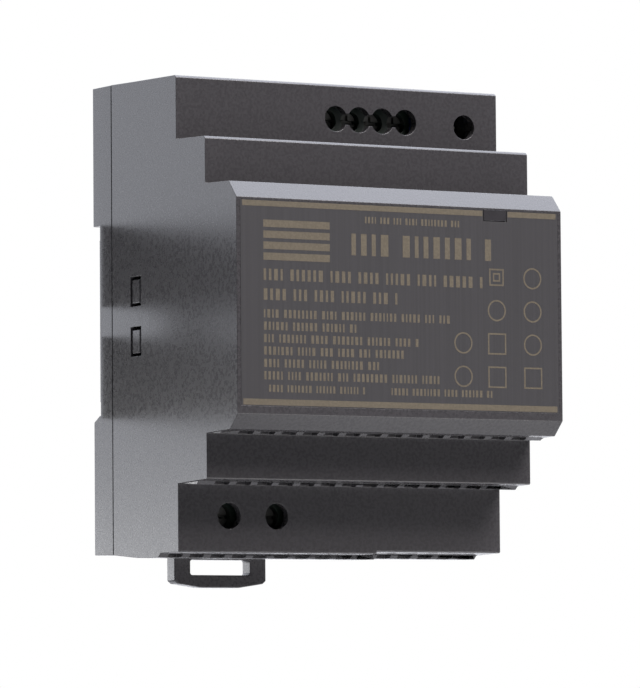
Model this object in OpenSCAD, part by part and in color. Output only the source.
// DIN rail power supply in a stepped, four-module case.
// +X is right, +Z is up and -Y is towards the label. The origin is the middle of the
// face that rests on the front of the 35 mm rail.

/* [Case] */
// Width of the case
case_w = 70; // [70:0.5:72]
// Height from the lower vent pads to the collar on top
case_h = 90; // [90:0.5:91]
// Depth from the label face to the back
case_d = 54.5; // [54.5:0.5:55]
// Wall thickness of the two shells
wall = 1.8; // [1.6:0.1:1.8]
// Height of the flat label face above the middle
face_up = 19.3; // [19.2:0.1:19.5]
// Reach of the flat label face below the middle
face_down = 20; // [19.9:0.1:20.1]
// Height of the nose above the middle, behind its chamfer
nose_up = 22.4; // [22.3:0.1:22.6]
// Reach of the nose below the middle, behind its chamfer
nose_down = 22.7; // [22.6:0.1:22.8]
// Height of the middle tier at its front
mid_h = 62.8; // [62.8:0.2:63.4]
// Height of the case before the draft of its top and bottom walls
tier_h = 88; // [88:0.1:88.4]
// Reach of the lower vent pads below the middle
pad_down = 45.2; // [45.1:0.1:45.4]
// Depth of the chamfer round the label face
chamfer_d = 2.8; // [2.6:0.1:3]
// Distance from the label face back to the middle tier
mid_back = 11.4; // [11.2:0.1:11.5]
// Distance from the label face back to the terminal tier
tier_back = 22.2; // [22:0.1:22.4]
// Distance from the label face back to the seam between the shells
seam_back = 47.1; // [47:0.1:47.2]

/* [Rail and foot] */
// Height of the rail that the case clips on
rail_h = 35; // [35:0.1:35.1]
// How far the case reaches behind the front of the rail
rail_recess = 2.4; // [2.4:0.1:2.6]
// Middle of the sliding foot across the case
foot_x = -9.5; // [-10.5:0.1:-9]
// Width of the sliding foot
foot_w = 20; // [19.6:0.1:20.2]
// Thickness of the sliding foot
foot_t = 3; // [3:0.05:3.1]
// Travel of the sliding foot
foot_travel = 5; // [3:0.5:5]

/* [Terminals] */
// Spacing of the output poles
out_pitch = 5.08; // [5:0.04:5.16]
// First output pole, from the middle of the case
out_x = -0.6; // [-1:0.1:0]
// Height of the output screws above the middle
out_z = 37.2; // [37:0.1:37.4]
// Spacing of the input poles
in_pitch = 10.16; // [10:0.04:10.2]
// First input pole, from the middle of the case
in_x = -24.2; // [-24.4:0.1:-24]
// Height of the input screws below the middle
in_z = -37.6; // [-37.7:0.1:-37.5]
// Output trimmer, from the middle of the case
trim_x = 27.7; // [27:0.1:28]
// Height of the trimmer above the middle
trim_z = 36.9; // [36.5:0.1:37]

/* [Hidden] */
$fn = 48;
eps = 0.01;

// Front-to-back positions of the tiers, the seam and the back
y_face = rail_recess - case_d;
y_nose = y_face + chamfer_d;
y_mid = y_face + mid_back;
y_tier = y_face + tier_back;
y_knee = y_face + 38;
y_seam = y_face + seam_back;
y_back = rail_recess;
// Height gained for each millimetre of depth on the step faces
draft = 0.038;
knee_z = tier_h / 2 + 0.45;
seam_z = tier_h / 2 + 0.3;
back_up = tier_h / 2 + 0.3;
back_z = tier_h / 2 + 0.1;
seam_gap = 0.25;
// The upper and lower half of the side view: height of the label face, of the nose, of the terminal
// tier's front edge and of its knee, and the chamfer along the front edges of the tiers
UPPER = [face_up, nose_up, tier_h / 2 - 0.3, tier_h / 2 + 0.05, 0.42];
LOWER = [face_down, nose_down, tier_h / 2, knee_z, 0.2];
function face_z(half) = half[0];
function nose_z(half) = half[1];
function tier_z(half) = half[2];
function bend_z(half) = half[3];
function edge_cut(half) = half[4];

// Vent pads and slots
slot_w = 3;
slot_l = 2.5;
slot_pitch = 4.53;
tier_slots_left = 10;
tier_slots_right = 5;
mid_slots = 14;
pad_step_x = 11.6;
rim_end_x = 7.6;
rim_z = tier_h / 2 + 0.4;
right_pad_drop = 0.2;
tier_pad_y = y_tier + 6.8;
mid_pad_y = y_mid + 3.7;
nose_pad_y = y_nose + 3.4;
// How far the pads of the two lower steps stand out, and their distance from the sides
mid_pad_h = 0.7;
nose_pad_h = 0.5;
pad_inset = 0.4;
ramp = 0.9;
pad_root = 0.6;

// Label and indicator window
label_w = 68.4;
label_h = 37.4;
label_t = 0.2;
label_z = 0.15;
window_x = 20.4;
window_z = 18;
window_w = 5;
window_h = 2.1;

// Snap windows and the hooks that show in them
snap_z = 4.7;
snap_y = y_face + 38;
snap_l = 4;
snap_h = 5.5;
hook_h = 4.4;
// The hooks stand out from their arms and stop just under the wall's outer face
hook_out = 1.7;
arm_t = 1.3;
side_clear = 0.15;

// Access holes in the terminal tiers
out_hole_r = 2.4;
in_hole_r = 2.42;
trim_hole_r = 2.3;
neck_h = 2.1;

// Wire entries through the top and bottom walls
out_entry_w = 4.3;
out_entry_l = 5;
in_entry_w = 7.4;
in_entry_l = 6.2;
entry_y = -14.6;
collar_edge = 0.9;

// Boards
board_t = 1.6;
board_y = -9;
board_w = 64.8;
board_h = 82.6;
board_rear = board_y + board_t;
sheet_y = -4.4;
sheet_t = 0.25;

// Sliding foot: its front face lies foot_y behind the rail contact face
foot_y = y_back - foot_t;
foot_top = -rail_h / 2 - 0.25;
foot_bottom = -50.1;
lip_y = 1.25;
lip_h = 1.8;
wing = 2;
wing_t = 1.4;
wing_top = -19.6;
// The wings come to rest on the stop when the foot is pulled down by its whole travel
stop_t = 1.5;
stop_z = stop_t - back_z;
wing_bottom = stop_z + foot_travel + 0.05;
loop_w = 13;
loop_h = 2.9;
loop_bar = 2.4;
loop_r = 0.5;
slide_clear = 0.12;
pocket_w = 3.4;
pocket_top = -24;
pocket_bottom = -41.05;
pocket_skin = 0.4;
post_h = 1.8;
post_w = 2.8;
spring_r = 1;
wire_r = 0.175;
spring_turns = 14;
ring_sides = 6;
rings_per_turn = 12;
spring_bottom = pocket_bottom + 0.05 + post_h;
spring_top = pocket_top - 0.05;

// Rail recess of the rear cover
recess_top = rail_h / 2 + 0.5;
recess_bottom = -rail_h / 2 - 0.35;
seat_half = 15.3;
seat_relief = 0.15;

// One terminal pole: [pole width, block depth, screw head radius, shank radius, cage width,
// cage depth, cage height, wall of the cage]. Heights below are above the main board.
OUT = [out_pitch, 9.6, 1.9, 1.25, 4.1, 4.4, 7.4, 0.7];
IN = [in_pitch, 9, 2.2, 1.5, 6.4, 5.6, 7.4, 0.9];
function pole_w(p) = p[0];
function block_d(p) = p[1];
function head_r(p) = p[2];
function shank_r(p) = p[3];
function cage_w(p) = p[4];
function cage_d(p) = p[5];
function cage_h(p) = p[6];
function cage_t(p) = p[7];
block_h = 17.4;
cage_floor = 3;
cage_roof_t = 1.6;
cage_lift = 2.7;
bar_t = 0.8;
bar_h = cage_floor + 4.1;
head_h = 1.9;
// The screw heads stay clear of the cages at the top of their lift
head_clear = 1.1;
head_z = cage_floor + cage_h(OUT) + cage_lift + head_clear;
thread_gap = 0.05;
drive_slot_w = 0.6;
drive_slot_d = 0.8;

// Output trimmer and the toroidal choke
trim_body_h = 6;
trim_top = 14.5;
trim_shaft_r = 2;
trim_floor = 1.05;
choke_ring_r = 6.2;

function screw_x(x, pitch, i) = x + pitch * i;
function flip(points) = [for (i = [len(points) - 1:-1:0]) [points[i][0], -points[i][1]]];

// Heights of the nose's and the middle tier's step faces at depth y
function nose_step(half, y) = nose_z(half) + draft * (y - y_nose);
function mid_step(y) = mid_h / 2 + draft * (y - y_mid);
// Height of the lower terminal tier's bottom wall in front of its knee
function tier_step(y) = tier_h / 2 + (knee_z - tier_h / 2) * (y - y_tier) / (y_knee - y_tier);
// One half of the housing's side view, drawn upwards, with the wall thickness t taken off
function half_side(half, t) = let (cut = edge_cut(half)) [
    [y_face + t, face_z(half) - t * 0.45],
    [y_nose + t * 0.6, nose_z(half) - t],
    [y_mid + t, nose_step(half, y_mid) - t],
    [y_mid + t, mid_h / 2 - cut - t],
    [y_mid + cut + t, mid_step(y_mid + cut) - t],
    [y_tier + t, mid_step(y_tier) - t],
    [y_tier + t, tier_z(half) - cut - t],
    [y_tier + cut + t, tier_z(half) - t],
    [y_knee, bend_z(half) - t],
    [y_seam + (t > 0 ? 1 : 0), seam_z - t]
];
function side_outline(t) = concat(half_side(UPPER, t), flip(half_side(LOWER, t)));

// Extrudes a [y, z] outline across the case, width w, centred on x
module across(w, points, x = 0) {
    translate([x - w / 2, 0, 0]) rotate([90, 0, 90]) linear_extrude(w) polygon(points);
}
// A box from its low corner to its high corner
module span(low, high) {
    translate(low) cube(high - low);
}
// Both the upper and the lower half
module both_halves() {
    children();
    mirror([0, 0, 1]) children();
}
// Both the right and the left side
module both_sides() {
    children();
    mirror([1, 0, 0]) children();
}
// Local z points forward from the main board, local y points up the case
module on_board(x, z) {
    translate([x, board_y, z]) rotate([90, 0, 0]) children();
}
// The two-sided frame of the terminals: the wire entry looks along local +y
module out_pole(i) {
    on_board(screw_x(out_x, out_pitch, i), out_z) children();
}
module in_pole(i) {
    on_board(screw_x(in_x, in_pitch, i), in_z) rotate([0, 0, 180]) children();
}

// ---- Case ----

// A raised pad of the lower terminal tier, drawn on the upper side: it rises from the height low along
// its front edge to the height top, and runs out at the seam
module tier_pad(x0, x1, low, top) {
    across(x1 - x0, [[tier_pad_y - eps, low - pad_root], [tier_pad_y - eps, low], [tier_pad_y + ramp, top],
        [y_knee, top - 0.15], [y_seam, seam_z], [y_seam, low - pad_root]], (x0 + x1) / 2);
}
// A raised pad of a lower step, that runs out at the next step
module step_pad(y0, z0, h, y1, z1) {
    across(case_w - 2 * pad_inset, [[y0, z0 - pad_root], [y0, z0], [y0 + ramp, z0 + h],
        [y1 + 0.5, z1 + 0.02], [y1 + 0.5, z0 - pad_root]]);
}
// The vent pads stand out from the lower steps only
module pads() {
    tier_pad(-case_w / 2, pad_step_x, rim_z, pad_down);
    tier_pad(pad_step_x - eps, case_w / 2 - 1, tier_step(tier_pad_y), pad_down - right_pad_drop);
    step_pad(mid_pad_y, mid_step(mid_pad_y), mid_pad_h, y_tier, mid_step(y_tier));
    step_pad(nose_pad_y, nose_step(LOWER, nose_pad_y), nose_pad_h, y_mid, nose_step(LOWER, y_mid));
}
// The front rim of the lower terminal tier, drawn on the upper side
module rim() {
    cut = edge_cut(LOWER);
    across(rim_end_x + case_w / 2, [[y_tier, rim_z - 1], [y_tier, rim_z - cut], [y_tier + cut, rim_z],
        [tier_pad_y, rim_z], [tier_pad_y, rim_z - 1]], (rim_end_x - case_w / 2) / 2);
}
// A raised collar round the four output wire entries
module output_collar() {
    half_l = out_entry_l / 2 + collar_edge;
    half_w = out_pitch / 2 + collar_edge;
    span([out_x - half_w, entry_y - half_l, tier_h / 2 - 0.6],
        [screw_x(out_x, out_pitch, 3) + half_w, entry_y + half_l, case_h - pad_down]);
}
module slot_row(first, count, y0, z0, z1) {
    for (i = [0:count - 1])
        span([first + slot_pitch * i, y0, z0], [first + slot_pitch * i + slot_w, y0 + slot_l, z1]);
}
module vent_slots() {
    slot_row(-33.1, tier_slots_left, tier_pad_y + 0.1, tier_h / 2 - 3, tier_h / 2 + 3);
    slot_row(pad_step_x + 0.4, tier_slots_right, tier_pad_y + 0.1, tier_h / 2 - 3, tier_h / 2 + 3);
    first = -(mid_slots * slot_pitch - (slot_pitch - slot_w)) / 2;
    slot_row(first, mid_slots, mid_pad_y + 0.1, mid_h / 2 - 3, mid_h / 2 + 3);
    slot_row(first, mid_slots, nose_pad_y + 0.1, nose_up - 3, nose_up + 3);
}
// A round hole through the front wall of a terminal tier
module tier_hole(x, z, r) {
    translate([x, y_tier - 1, z]) rotate([-90, 0, 0]) cylinder(r = r, h = wall + 2);
}
module access_holes() {
    for (i = [0:3]) tier_hole(screw_x(out_x, out_pitch, i), out_z, out_hole_r);
    span([out_x, y_tier - 1, out_z - neck_h / 2],
        [out_x + 3 * out_pitch, y_tier + wall + 1, out_z + neck_h / 2]);
    for (i = [0:1]) tier_hole(screw_x(in_x, in_pitch, i), in_z, in_hole_r);
    tier_hole(trim_x, trim_z, trim_hole_r);
}
// Rectangular wire entries through the top and bottom walls, in line with the cages
module wire_entries() {
    for (i = [0:3])
        translate([screw_x(out_x, out_pitch, i), entry_y, tier_h / 2])
            cube([out_entry_w, out_entry_l, 6], center = true);
    for (i = [0:1])
        translate([screw_x(in_x, in_pitch, i), entry_y, -tier_h / 2])
            cube([in_entry_w, in_entry_l, 6], center = true);
}
module snap_windows() {
    for (z = [-snap_z, snap_z])
        translate([case_w / 2 - wall / 2, snap_y, z]) cube([wall + 1, snap_l, snap_h], center = true);
}
// Ledges on the side walls that the main board's front face lies against
module board_ledges() {
    for (z = [-26, 26])
        span([31.6, board_y - 8, z - 4], [case_w / 2 - wall + 0.2, board_y, z + 4]);
}
module front_housing() {
    color([0.27, 0.27, 0.285]) {
        difference() {
            union() {
                across(case_w, side_outline(0));
                mirror([0, 0, 1]) pads();
                mirror([0, 0, 1]) rim();
                output_collar();
            }
            across(case_w - 2 * wall, side_outline(wall));
            both_halves() vent_slots();
            access_holes();
            wire_entries();
            both_sides() snap_windows();
            label_sheet(y_face - 1);
            span([window_x - window_w / 2, y_face - 1, window_z - window_h / 2],
                [window_x + window_w / 2, y_face + 3.4, window_z + window_h / 2]);
        }
        both_sides() board_ledges();
    }
}
// The label's outline, from depth y to the floor of its pocket
module label_sheet(y) {
    span([-label_w / 2, y, label_z - label_h / 2], [label_w / 2, y_face + label_t, label_z + label_h / 2]);
}
module front_label() {
    color([0.3, 0.295, 0.3]) difference() {
        label_sheet(y_face);
        span([window_x - window_w / 2 - 0.1, y_face - 1, window_z - window_h / 2 - 0.1],
            [window_x + window_w / 2 + 0.1, y_face + 1, window_z + 3]);
    }
}
module light_pipe() {
    half_w = window_w / 2 - 0.05;
    half_h = window_h / 2 - 0.05;
    color([0.1, 0.1, 0.11]) {
        span([window_x - half_w, y_face, window_z - half_h],
            [window_x + half_w, y_face + 2.4, window_z + half_h]);
        span([window_x - 1.6, y_face + 2.4, window_z - 3.3], [window_x + 1.6, y_face + 15.6, window_z - 0.2]);
    }
}
module rear_shell() {
    half = case_w / 2;
    y0 = y_seam + seam_gap;
    tongue_x = half - wall - side_clear;
    tongue_z = seam_z - wall - side_clear;
    across(case_w, [[y0, seam_z - 0.02], [y_back, back_up], [y_back, -back_z], [y0, -seam_z + 0.02]]);
    span([-tongue_x, y_seam - 1.9, -tongue_z], [tongue_x, y0 + eps, tongue_z]);
}
// The hollow of the rear cover, with a deeper floor above and below the rail
module rear_hollow() {
    in_x1 = case_w / 2 - wall - side_clear - 1.2;
    in_z1 = seam_z - wall - side_clear - 1.2;
    floor_y = -wall;
    span([-in_x1, y_seam - 3, -in_z1], [in_x1, floor_y, in_z1]);
    span([-in_x1, floor_y - eps, recess_top + wall], [in_x1, y_back - wall, in_z1]);
    side = foot_w / 2 + wing + 2;
    span([-in_x1, floor_y - eps, -in_z1], [foot_x - side, y_back - wall, recess_bottom - wall - 1.2]);
    span([foot_x + side, floor_y - eps, -in_z1], [in_x1, y_back - wall, recess_bottom - wall - 1.2]);
}
// The channel that the foot slides in, with ledges over the foot's wings
module foot_channel() {
    c = slide_clear;
    top = -seat_half - 0.05;
    low = -tier_h / 2 - 2;
    span([foot_x - foot_w / 2 - c, foot_y - c, low], [foot_x + foot_w / 2 + c, y_back + 1, top]);
    span([foot_x - foot_w / 2 - wing - c, foot_y - c, stop_z],
        [foot_x + foot_w / 2 + wing + c, foot_y + wing_t + c, wing_top + 0.4]);
}
module snap_arm(z) {
    x1 = case_w / 2 - wall - side_clear;
    tip = snap_y - snap_l / 2 + 0.2;
    root = y_seam - 1.5;
    translate([0, 0, z - hook_h / 2]) linear_extrude(hook_h) polygon([
        [x1 - arm_t, root], [x1, root], [x1, snap_y + 1.8], [x1 + hook_out, snap_y + 1.75],
        [x1 + hook_out, snap_y - 1], [x1 + 0.9, tip], [x1 - arm_t, tip]]);
}
module rear_cover() {
    color([0.27, 0.27, 0.285]) {
        difference() {
            rear_shell();
            rear_hollow();
            // Rail recess with a slanted lower edge, and its relieved borders
            across(case_w + 2, [[0, recess_top], [4, recess_top], [4, recess_bottom - 2],
                [0.2, recess_bottom], [0, recess_bottom]]);
            span([-case_w, -seat_relief, seat_half], [case_w, 1, recess_top]);
            span([-case_w, -seat_relief, recess_bottom], [case_w, 1, -seat_half]);
            foot_channel();
        }
        // Fixed lips behind the rail's upper edge
        for (x = [-20, 20])
            span([x - 7, lip_y, recess_top - lip_h], [x + 7, y_back, recess_top + eps]);
        // Post that the foot's spring stands on
        span([foot_x - post_w / 2, foot_y - slide_clear - eps, pocket_bottom + 0.05],
            [foot_x + post_w / 2, foot_y + 2.2, spring_bottom]);
        both_sides() for (z = [-snap_z, snap_z]) snap_arm(z);
        // Posts behind the main board
        for (x = [-28, 28]) for (z = [-30, 30])
            translate([x, board_rear, z]) rotate([-90, 0, 0])
                cylinder(r = 2, h = y_back - wall + 0.2 - board_rear);
    }
}

// ---- Foot ----

// The finger loop's hole, with round corners
module loop_hole() {
    z0 = foot_bottom + loop_bar;
    x1 = loop_w / 2 - loop_r;
    translate([foot_x, foot_y - 1, z0]) {
        translate([-x1, 0, 0]) cube([2 * x1, foot_t + 2, loop_h]);
        translate([-loop_w / 2, 0, loop_r]) cube([loop_w, foot_t + 2, loop_h - 2 * loop_r]);
        for (x = [-x1, x1]) for (z = [loop_r, loop_h - loop_r])
            translate([x, 0, z]) rotate([-90, 0, 0]) cylinder(r = loop_r, h = foot_t + 2, $fn = 24);
    }
}
module din_foot() {
    h = foot_w / 2;
    outline = [[-h, foot_top], [h, foot_top], [h, foot_bottom + 1.3], [h - 0.7, foot_bottom + 0.75],
        [4.2, foot_bottom], [-4.2, foot_bottom], [-h + 0.7, foot_bottom + 0.75], [-h, foot_bottom + 1.3]];
    color([0.25, 0.245, 0.255]) difference() {
        union() {
            translate([foot_x, y_back, 0]) rotate([90, 0, 0]) linear_extrude(foot_t) polygon(outline);
            span([foot_x - h - wing, foot_y, wing_bottom], [foot_x + h + wing, foot_y + wing_t, wing_top]);
            // Lip behind the rail's lower edge, with a slanted lead-in
            across(foot_w, [[lip_y, foot_top - eps], [lip_y, foot_top + lip_h - 0.2],
                [lip_y + 0.3, foot_top + lip_h], [y_back - 0.2, foot_top + lip_h - 0.6],
                [y_back, foot_top - eps]], foot_x);
        }
        loop_hole();
        span([foot_x - pocket_w / 2, foot_y - 1, pocket_bottom],
            [foot_x + pocket_w / 2, y_back - pocket_skin, pocket_top]);
    }
}
// A coil spring along z, swept as rings of points joined by triangles
module foot_spring() {
    steps = rings_per_turn * spring_turns;
    low = spring_bottom + wire_r;
    rise = spring_top - wire_r - low;
    centre_y = foot_y + spring_r + wire_r + 0.1;
    function ring_point(k, j) =
        let (turn = 360 * spring_turns * k / steps, round = 360 * j / ring_sides)
        let (r = spring_r + wire_r * cos(round))
        [foot_x + r * cos(turn), centre_y + r * sin(turn), low + rise * k / steps + wire_r * sin(round)];
    function corner(k, j) = k * ring_sides + j % ring_sides;
    points = [for (k = [0:steps]) for (j = [0:ring_sides - 1]) ring_point(k, j)];
    lower = [for (k = [0:steps - 1]) for (j = [0:ring_sides - 1])
        [corner(k, j), corner(k + 1, j), corner(k + 1, j + 1)]];
    upper = [for (k = [0:steps - 1]) for (j = [0:ring_sides - 1])
        [corner(k, j), corner(k + 1, j + 1), corner(k, j + 1)]];
    start_cap = [for (j = [1:ring_sides - 2]) [0, j, j + 1]];
    end_cap = [for (j = [1:ring_sides - 2]) [corner(steps, 0), corner(steps, j + 1), corner(steps, j)]];
    color([0.75, 0.76, 0.78]) polyhedron(points, concat(lower, upper, start_cap, end_cap), convexity = 10);
}

// ---- Boards ----

module main_board() {
    half = board_w / 2;
    color([0.1, 0.35, 0.2]) difference() {
        span([-half, board_y, -board_h / 2], [half, board_rear, board_h / 2]);
        both_sides() span([31.2, board_y - 1, -9], [half + 1, board_rear + 1, 9]);
    }
}
module control_board() {
    color([0.1, 0.35, 0.2]) span([14, board_y - 24, 13.4], [30, board_y, 14.6]);
}
module insulation_sheet() {
    color([0.9, 0.9, 0.86]) difference() {
        span([-31, sheet_y, -40.5], [31, sheet_y + sheet_t, 40.5]);
        for (x = [-28, 28]) for (z = [-30, 30])
            translate([x, sheet_y - 1, z]) rotate([-90, 0, 0]) cylinder(r = 2.3, h = 3);
    }
}
// Rows of solder joints on the rear of the main board
module solder_joints() {
    color([0.78, 0.79, 0.8]) {
        for (x = [-24:8:24]) for (z = [-36, -22, -8, 8, 22, 36])
            translate([x, board_rear, z]) rotate([-90, 0, 0]) cylinder(r1 = 1, r2 = 0.4, h = 1.1, $fn = 16);
    }
}

// ---- Terminals: local z is the height above the board, the wire comes in along -y ----

module block_pole(p) {
    hole_w = cage_w(p) + 0.2;
    hole_d = cage_d(p) + 0.3;
    roof = head_z - 0.05;
    slot_in = cage_w(p) - 2 * cage_t(p);
    // Cage space, wire funnel, contact slot, neck and screwdriver well
    translate([-hole_w / 2, -hole_d / 2, cage_floor - 0.1]) cube([hole_w, hole_d, roof - 0.9 - cage_floor]);
    translate([-hole_w / 2, 0, cage_floor]) cube([hole_w, block_d(p), 5.2]);
    translate([-slot_in / 2, -block_d(p), bar_h - 0.1]) cube([slot_in, block_d(p), bar_t + 0.2]);
    translate([0, 0, roof - 2]) cylinder(r = shank_r(p) + 0.1, h = 3);
    translate([0, 0, roof]) cylinder(r = head_r(p) + 0.1, h = block_h);
}
module terminal_block(p, poles) {
    edge = 0.4;
    difference() {
        translate([-pole_w(p) / 2 - edge, -block_d(p) / 2, 0])
            cube([pole_w(p) * poles + 2 * edge, block_d(p), block_h]);
        for (i = [0:poles - 1]) translate([pole_w(p) * i, 0, 0]) block_pole(p);
    }
}
// A bent strip: the bar under the wire and the leg down to the board
module contact_bar(p) {
    w = cage_w(p) - 2 * cage_t(p) - 0.3;
    leg_y = -block_d(p) / 2 - 0.1 - bar_t;
    translate([-w / 2, leg_y, bar_h]) cube([w, cage_d(p) / 2 - leg_y, bar_t]);
    translate([-w / 2, leg_y, 0]) cube([w, bar_t, bar_h + eps]);
}
// The cage is a square loop round the wire and the contact bar, with a bored roof
module cage(p) {
    roof_z = cage_floor + cage_h(p) - cage_roof_t;
    difference() {
        translate([-cage_w(p) / 2, -cage_d(p) / 2, cage_floor]) cube([cage_w(p), cage_d(p), cage_h(p)]);
        translate([cage_t(p) - cage_w(p) / 2, -cage_d(p), cage_floor + cage_t(p)])
            cube([cage_w(p) - 2 * cage_t(p), 2 * cage_d(p), roof_z - cage_floor - cage_t(p)]);
        translate([0, 0, roof_z - 0.5]) cylinder(r = shank_r(p) + thread_gap, h = cage_roof_t + 1);
    }
}
module slotted_screw(p) {
    tip = bar_h + bar_t + 0.05;
    slot_z = head_z + head_h - drive_slot_d;
    long = 2 * head_r(p) + 2;
    short = 1.4 * head_r(p);
    difference() {
        union() {
            translate([0, 0, tip]) cylinder(r = shank_r(p), h = head_z - tip + eps);
            translate([0, 0, head_z]) cylinder(r = head_r(p), h = head_h);
        }
        translate([-long / 2, -drive_slot_w / 2, slot_z]) cube([long, drive_slot_w, 2]);
        translate([-drive_slot_w / 2, -short / 2, slot_z]) cube([drive_slot_w, short, 2]);
    }
}
module output_terminal_block() { color([0.15, 0.38, 0.22]) out_pole(0) terminal_block(OUT, 4); }
module input_terminal_block() { color([0.15, 0.38, 0.22]) in_pole(1) terminal_block(IN, 2); }
module output_contacts() { color([0.8, 0.78, 0.7]) for (i = [0:3]) out_pole(i) contact_bar(OUT); }
module input_contacts() { color([0.8, 0.78, 0.7]) for (i = [0:1]) in_pole(i) contact_bar(IN); }
module output_screw(i) { color([0.8, 0.8, 0.82]) out_pole(i - 1) slotted_screw(OUT); }
module input_screw(i) { color([0.8, 0.8, 0.82]) in_pole(i - 1) slotted_screw(IN); }
module output_cage(i) { color([0.82, 0.8, 0.7]) out_pole(i - 1) cage(OUT); }
module input_cage(i) { color([0.82, 0.8, 0.7]) in_pole(i - 1) cage(IN); }

// ---- Trimmer and indicator ----

module trim_body() {
    color([0.15, 0.3, 0.6]) on_board(trim_x, trim_z) difference() {
        translate([-4.2, -4.2, 0]) cube([8.4, 8.2, trim_body_h]);
        translate([0, 0, trim_floor - 0.05]) cylinder(r = trim_shaft_r + 0.05, h = 10);
    }
}
module trim_rotor() {
    color([0.9, 0.9, 0.86]) on_board(trim_x, trim_z) difference() {
        translate([0, 0, trim_floor]) cylinder(r = trim_shaft_r, h = trim_top - trim_floor);
        translate([-3, -0.35, trim_top - 1]) cube([6, 0.7, 2]);
    }
}
module status_led() {
    color([0.3, 0.8, 0.35]) translate([window_x, board_y - 24, 13.4]) {
        translate([-1.6, -1.8, 1.25]) cube([3.2, 3.4, 1.4]);
        translate([0, -1.8, 1.95]) rotate([90, 0, 0]) cylinder(r = 0.7, h = 0.9);
    }
}

// ---- Mains side ----

module fuse() {
    color([0.6, 0.25, 0.15]) on_board(-2, -35.6) {
        cylinder(r = 4.2, h = 7.6);
        translate([0, 0, 7.6]) cylinder(r = 3.8, h = 0.4);
    }
}
// A disc standing on the board, with two short leads
module disc_part(r, t, gap) {
    translate([0, t / 2, r + 1.6]) rotate([90, 0, 0]) cylinder(r = r, h = t);
    for (x = [-gap / 2, gap / 2]) translate([x, 0, 0]) cylinder(r = 0.4, h = 3.4, $fn = 16);
}
module inrush_thermistor() { color([0.2, 0.35, 0.25]) on_board(9.5, -35.6) disc_part(5, 4.4, 5); }
module surge_varistor() { color([0.15, 0.3, 0.65]) on_board(23, -35.6) disc_part(5.5, 4, 7.5); }
module line_capacitor() {
    color([0.85, 0.75, 0.25]) on_board(-18.5, -24.5) translate([-9, -3.8, 0.4]) cube([18, 7.6, 14.5]);
}

module choke_frame() { on_board(2.5, -22) translate([0, 0, 4.8]) children(); }
module choke_core() {
    color([0.25, 0.4, 0.3]) choke_frame()
        rotate_extrude() translate([choke_ring_r - 1.9, -2.8]) square([3.8, 5.6]);
}
module choke_windings() {
    color([0.75, 0.4, 0.2]) choke_frame() for (a = [20, 200]) rotate([0, 0, a])
        rotate_extrude(angle = 140) difference() {
            translate([choke_ring_r - 2.8, -3.8]) square([5.6, 7.6]);
            translate([choke_ring_r - 1.95, -2.85]) square([3.9, 5.7]);
        }
}
module bridge_rectifier() {
    color([0.15, 0.15, 0.16]) on_board(20.5, -25.5) {
        translate([-9.5, -1.8, 3]) cube([19, 3.6, 16]);
        for (x = [-7.5, -2.5, 2.5, 7.5]) translate([x - 0.6, -0.3, 0]) cube([1.2, 0.6, 3.1]);
    }
}
// An electrolytic can with its crimp groove and scored top
module can(r, h) {
    difference() {
        translate([0, 0, 0.3]) cylinder(r = r, h = h - 0.3);
        translate([0, 0, 2]) rotate_extrude() translate([r + 0.25, 0]) circle(r = 0.6, $fn = 24);
        translate([-r * 0.6, -0.2, h - 0.25]) cube([r * 1.2, 0.4, 1]);
        translate([-0.2, -r * 0.6, h - 0.25]) cube([0.4, r * 1.2, 1]);
    }
}
module bulk_capacitors() {
    color([0.12, 0.12, 0.14]) for (z = [-10.5, 7]) on_board(-22.6, z) can(8, 33);
}

// ---- Transformer: the middle leg stands up from the board ----

module transformer_frame() { on_board(1.5, -1) children(); }
module transformer_core() {
    color([0.2, 0.2, 0.22]) transformer_frame() difference() {
        translate([-14, -5, 3]) cube([28, 10, 24]);
        for (s = [-1, 1]) translate([s * 7.5 - 3.25, -6, 6.5]) cube([6.5, 12, 17]);
        translate([-14, -6, 14.9]) cube([28, 12, 0.1]);
    }
}
module transformer_bobbin() {
    color([0.85, 0.82, 0.7]) transformer_frame() {
        difference() {
            union() {
                translate([-5.3, -6.2, 6.6]) cube([10.6, 12.4, 16.8]);
                for (z = [6.6, 22.4]) translate([-10.6, -11, z]) cube([21.2, 22, 1]);
            }
            translate([-4.3, -5.05, 0]) cube([8.6, 10.1, 30]);
        }
        for (x = [-8, -4, 0, 4, 8]) for (y = [-9.5, 9.5])
            translate([x, y, 0]) cylinder(r = 0.4, h = 6.7, $fn = 16);
    }
}
module transformer_winding() {
    color([0.85, 0.7, 0.25]) transformer_frame() difference() {
        translate([-10.2, -10.4, 7.7]) cube([20.4, 20.8, 14.6]);
        translate([-5.4, -6.3, 0]) cube([10.8, 12.6, 30]);
    }
}

// ---- Power semiconductors on aluminium plates ----

// A tab package with its back against the heat sink at local y = 0
module tab_package() {
    difference() {
        union() {
            translate([-5, 0, 5]) cube([10, 4.4, 9]);
            translate([-5, 0, 14 - eps]) cube([10, 1.3, 6]);
        }
        translate([0, -1, 17]) rotate([-90, 0, 0]) cylinder(r = 1.8, h = 4);
    }
    for (x = [-2.54, 0, 2.54]) translate([x - 0.4, 2, 0]) cube([0.8, 0.5, 5.1]);
}
module sink_plate() {
    difference() {
        union() {
            translate([-7, -1.6, 0.3]) cube([14, 1.6, 26]);
            translate([-7, -6, 24.7]) cube([14, 4.5, 1.6]);
        }
        translate([0, -3, 17]) rotate([-90, 0, 0]) cylinder(r = 1.45, h = 5);
    }
}
module sink_screw() {
    translate([0, 1.3, 17]) rotate([-90, 0, 0]) cylinder(r = 2.6, h = 1.8);
    translate([0, -3, 17]) rotate([-90, 0, 0]) cylinder(r = 1.4, h = 4.4);
}
module primary_side() { on_board(23.5, -13.5) rotate([0, 0, 180]) children(); }
module secondary_side() { on_board(4.5, 19.5) children(); }
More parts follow.
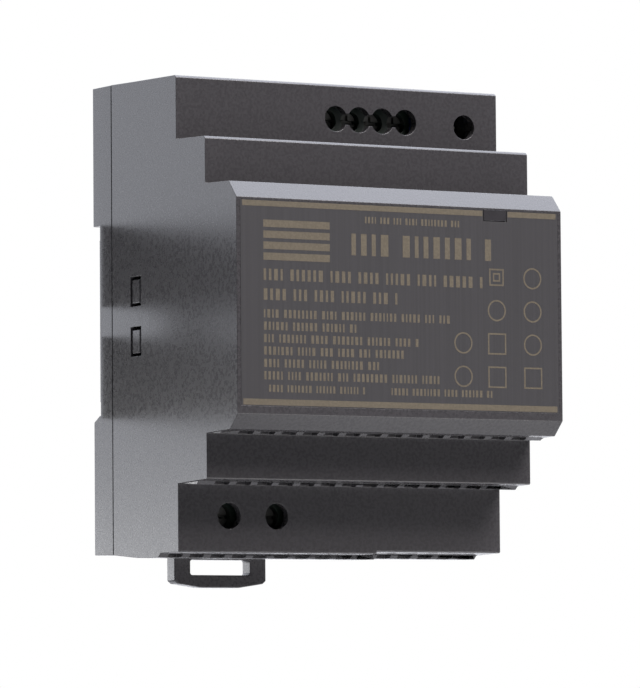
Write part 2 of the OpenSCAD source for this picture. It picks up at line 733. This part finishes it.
module switch_transistor() { color([0.14, 0.14, 0.15]) primary_side() tab_package(); }
module output_rectifier() { color([0.14, 0.14, 0.15]) secondary_side() tab_package(); }
module heat_sinks() {
    color([0.75, 0.76, 0.78]) {
        primary_side() sink_plate();
        secondary_side() sink_plate();
    }
}
module heat_sink_screws() {
    color([0.7, 0.7, 0.72]) {
        primary_side() sink_screw();
        secondary_side() sink_screw();
    }
}

// ---- Output side ----

module output_capacitors() {
    color([0.12, 0.12, 0.14]) for (x = [-23.5, -10]) on_board(x, 22.6) can(6.3, 24);
}
module output_choke() {
    color([0.7, 0.38, 0.2]) on_board(22, 23.5) {
        translate([0, 0, 0.3]) cylinder(r = 5.6, h = 1.4);
        translate([0, 0, 1.7]) cylinder(r = 5.1, h = 9);
        translate([0, 0, 10.7]) cylinder(r = 5.6, h = 1.4);
    }
}
module safety_capacitor() { color([0.2, 0.4, 0.75]) on_board(24.5, -3) disc_part(4.2, 3.6, 7.5); }
module optocoupler() {
    color([0.9, 0.9, 0.88]) on_board(23, 7) {
        translate([-3.2, -2.3, 0.5]) cube([6.4, 4.6, 3.4]);
        for (x = [-3.5, 3.5]) for (y = [-1.27, 1.27]) translate([x - 0.3, y - 0.5, 0]) cube([0.6, 1, 2]);
    }
}
module control_chip() {
    color([0.13, 0.13, 0.14]) translate([20, board_y - 14, 13.4]) {
        translate([-2.5, -2, -1.7]) cube([5, 4, 1.5]);
        for (x = [-1.9:1.27:2]) for (y = [-2.9, 2]) translate([x - 0.2, y, -0.9]) cube([0.4, 0.9, 0.9]);
    }
}

front_housing();
rear_cover();
front_label();
light_pipe();
din_foot();
foot_spring();
main_board();
control_board();
insulation_sheet();
solder_joints();
output_terminal_block();
input_terminal_block();
output_contacts();
input_contacts();
output_screw(1);  // output_screw_1
output_screw(2);  // output_screw_2
output_screw(3);  // output_screw_3
output_screw(4);  // output_screw_4
input_screw(1);  // input_screw_1
input_screw(2);  // input_screw_2
output_cage(1);  // output_cage_1
output_cage(2);  // output_cage_2
output_cage(3);  // output_cage_3
output_cage(4);  // output_cage_4
input_cage(1);  // input_cage_1
input_cage(2);  // input_cage_2
trim_body();
trim_rotor();
status_led();
fuse();
inrush_thermistor();
surge_varistor();
line_capacitor();
choke_core();
choke_windings();
bridge_rectifier();
bulk_capacitors();
transformer_core();
transformer_bobbin();
transformer_winding();
switch_transistor();
output_rectifier();
heat_sinks();
heat_sink_screws();
output_capacitors();
output_choke();
safety_capacitor();
optocoupler();
control_chip();
